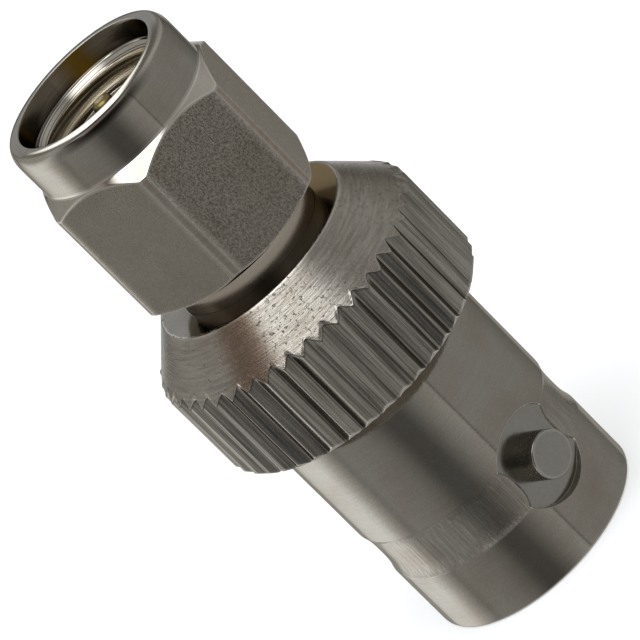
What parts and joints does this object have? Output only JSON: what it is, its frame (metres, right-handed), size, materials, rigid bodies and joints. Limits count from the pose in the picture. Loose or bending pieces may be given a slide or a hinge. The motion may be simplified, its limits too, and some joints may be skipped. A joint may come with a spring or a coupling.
{
  "type": "coaxial adapter, SMA plug to BNC jack",
  "caption": "Straight coaxial adapter: hexagon coupling nut with centre pin at one end, bayonet jack with studs at the other, straight-knurled collar between.",
  "frame": {"origin": "centre of the jack's mouth face, on the common axis", "axes": "+Z along the axis from the bayonet jack to the threaded plug; +X through bayonet stud a"},
  "size_m": [0.0126, 0.0126, 0.0266],
  "materials": {
    "satin_nickel": "nickel-plated turned brass, satin, with fine machining marks",
    "gold_plate": "gold-plated contact, smooth",
    "ptfe": "machined PTFE, waxy white",
    "gasket_rubber": "red-brown silicone rubber, matt",
    "spring_bronze": "plain spring bronze wire, square section"
  },
  "bodies": {
    "adapter_body": {"main_body": "satin_nickel", "plug_shell": "satin_nickel", "bayonet_stud_a": "satin_nickel", "bayonet_stud_b": "satin_nickel", "retaining_ring": "spring_bronze", "gasket": "gasket_rubber", "jack_insulator": "ptfe", "plug_insulator": "ptfe", "socket_contact": "gold_plate", "pin_contact": "gold_plate"},
    "nut": {"coupling_nut": "satin_nickel"}
  },
  "joints": [
    {"name": "nut_spin", "type": "hinge", "parent": "adapter_body", "child": "nut", "pos_m": [0, 0, 0.022], "axis": [0, 0, 1], "continuous": true}
  ]
}
